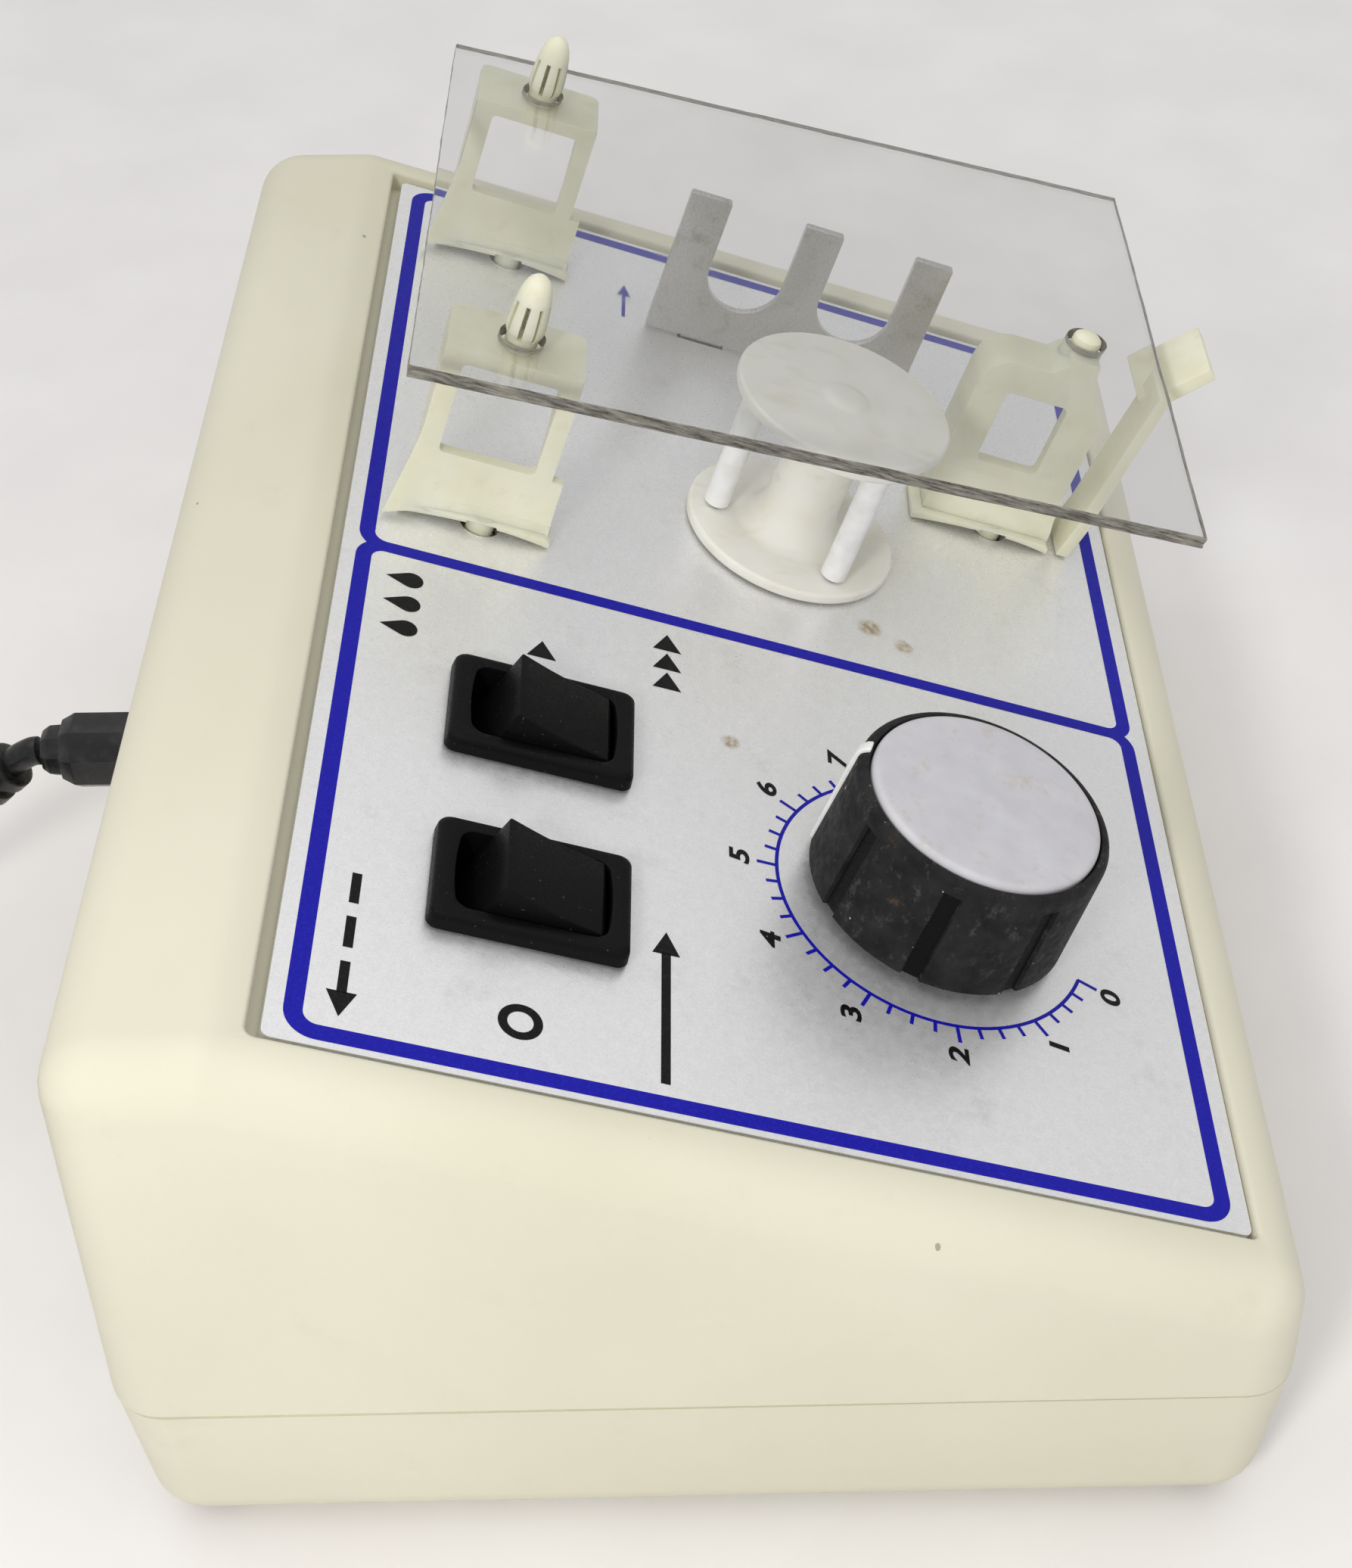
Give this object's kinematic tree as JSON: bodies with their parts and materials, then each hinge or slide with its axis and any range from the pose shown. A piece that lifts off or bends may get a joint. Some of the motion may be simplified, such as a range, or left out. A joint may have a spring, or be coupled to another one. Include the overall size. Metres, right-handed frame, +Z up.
{
  "type": "peristaltic pump",
  "caption": "Benchtop peristaltic pump: sloping case, geared three-roller rotor, slotted comb for tubing, clear push-on cover, speed dial and rocker switches.",
  "frame": {"origin": "bench surface under the middle of the pump, measured without its cord", "axes": "+X to the user's right, +Y to the rear, +Z up"},
  "size_m": [0.216, 0.2291, 0.0989],
  "materials": {
    "case_plastic": "fine moulded matte, warm ivory",
    "panel_foil": "silver with fine sparkle and printed lines",
    "nylon": "translucent natural nylon",
    "acetal": "smooth warm white",
    "roller_plastic": "smooth white",
    "switch_plastic": "matte black",
    "knob_plastic": "scuffed charcoal",
    "knob_cap_plastic": "light grey",
    "stainless": "satin sheet",
    "acrylic": "clear with rough sawn edges",
    "rubber_foot": "matte",
    "plated_steel": "zinc plated",
    "brass": "machined",
    "board_laminate": "solder mask green",
    "capacitor_sleeve": "shrink sleeve",
    "black_plastic": "moulded black",
    "cord_jacket": "glossy black"
  },
  "bodies": {
    "case": {"front_panel": "panel_foil", "speed_switch_body": "switch_plastic", "direction_switch_body": "switch_plastic", "pot_body": "plated_steel", "pot_nut": "plated_steel", "motor": "plated_steel", "gear_plate_upper": "plated_steel", "gear_plate_lower": "plated_steel", "gear_post_1": "plated_steel", "gear_post_2": "plated_steel", "gear_post_3": "plated_steel", "tube_holder": "stainless", "support_rear_left": "nylon", "support_rear_right": "nylon", "support_front": "nylon", "base_pan": "case_plastic", "top_cover": "case_plastic", "foot_front_left": "rubber_foot", "case_screw_front_left": "plated_steel", "foot_front_right": "rubber_foot", "case_screw_front_right": "plated_steel", "foot_rear_left": "rubber_foot", "case_screw_rear_left": "plated_steel", "foot_rear_right": "rubber_foot", "case_screw_rear_right": "plated_steel", "circuit_board": "board_laminate", "capacitor": "capacitor_sleeve", "power_jack": "black_plastic", "power_plug": "black_plastic", "strain_relief": "black_plastic", "cord": "cord_jacket", "cord_coil": "cord_jacket", "cord_tail": "cord_jacket", "cord_tie": "black_plastic", "wall_adapter": "black_plastic", "adapter_blade_1": "brass", "adapter_blade_2": "brass"},
    "rotor": {"rotor_base": "acetal", "rotor_top": "acetal", "roller_pin_1": "plated_steel", "roller_pin_2": "plated_steel", "roller_pin_3": "plated_steel", "output_shaft": "plated_steel", "output_gear": "brass"},
    "roller_a": {"roller_1": "roller_plastic"},
    "roller_b": {"roller_2": "roller_plastic"},
    "roller_c": {"roller_3": "roller_plastic"},
    "idler": {"idler_gear": "brass"},
    "armature": {"motor_pinion": "brass"},
    "knob": {"knob_body": "knob_plastic", "knob_cap": "knob_cap_plastic", "knob_pointer": "roller_plastic", "pot_shaft": "plated_steel"},
    "speed_rocker": {"speed_rocker": "switch_plastic"},
    "direction_rocker": {"direction_rocker": "switch_plastic"},
    "release_lever": {"release_lever": "nylon"},
    "cover": {"cover_plate": "acrylic"}
  },
  "joints": [
    {"name": "rotor_spin", "type": "hinge", "parent": "case", "child": "rotor", "pos_m": [0.0202, -0.00906, 0.05542], "axis": [0, -0.3256, 0.9455], "continuous": true},
    {"name": "roller_a_spin", "type": "hinge", "parent": "rotor", "child": "roller_a", "pos_m": [0.02038, -0.00258, 0.06823], "axis": [0, -0.3256, 0.9455], "continuous": true},
    {"name": "roller_b_spin", "type": "hinge", "parent": "rotor", "child": "roller_b", "pos_m": [0.01119, -0.01704, 0.06325], "axis": [0, -0.3256, 0.9455], "continuous": true},
    {"name": "roller_c_spin", "type": "hinge", "parent": "rotor", "child": "roller_c", "pos_m": [0.02903, -0.01733, 0.06315], "axis": [0, -0.3256, 0.9455], "continuous": true},
    {"name": "idler_spin", "type": "hinge", "parent": "case", "child": "idler", "pos_m": [0.0034, -0.00581, 0.04596], "axis": [0, -0.3256, 0.9455], "continuous": true},
    {"name": "armature_spin", "type": "hinge", "parent": "case", "child": "armature", "pos_m": [0.0118, -0.01793, 0.0365], "axis": [0, -0.3256, 0.9455], "continuous": true},
    {"name": "knob_turn", "type": "hinge", "parent": "case", "child": "knob", "pos_m": [-0.0419, -0.02305, 0.0506], "axis": [0, -0.3256, 0.9455], "range_deg": [-45.5, 174.5]},
    {"name": "speed_rocker_tilt", "type": "hinge", "parent": "case", "child": "speed_rocker", "pos_m": [-0.0288, 0.02071, 0.06356], "axis": [1, 0, 0], "range_deg": [0, 46]},
    {"name": "direction_rocker_tilt", "type": "hinge", "parent": "case", "child": "direction_rocker", "pos_m": [-0.0554, 0.02071, 0.06356], "axis": [1, 0, 0], "range_deg": [0, 46]},
    {"name": "release_lever_flex", "type": "hinge", "parent": "case", "child": "release_lever", "pos_m": [0.0363, -0.04698, 0.043], "axis": [1, 0, 0], "range_deg": [0, 8], "stiffness_Nm_per_rad": 0.02},
    {"name": "cover_lift", "type": "slide", "parent": "case", "child": "cover", "axis": [0, -0.3256, 0.9455], "range_m": [0, 0.035]}
  ],
  "couplings": [
    {"joint": "idler_spin", "follows": "rotor_spin", "ratio": -3},
    {"joint": "armature_spin", "follows": "rotor_spin", "ratio": 9}
  ]
}
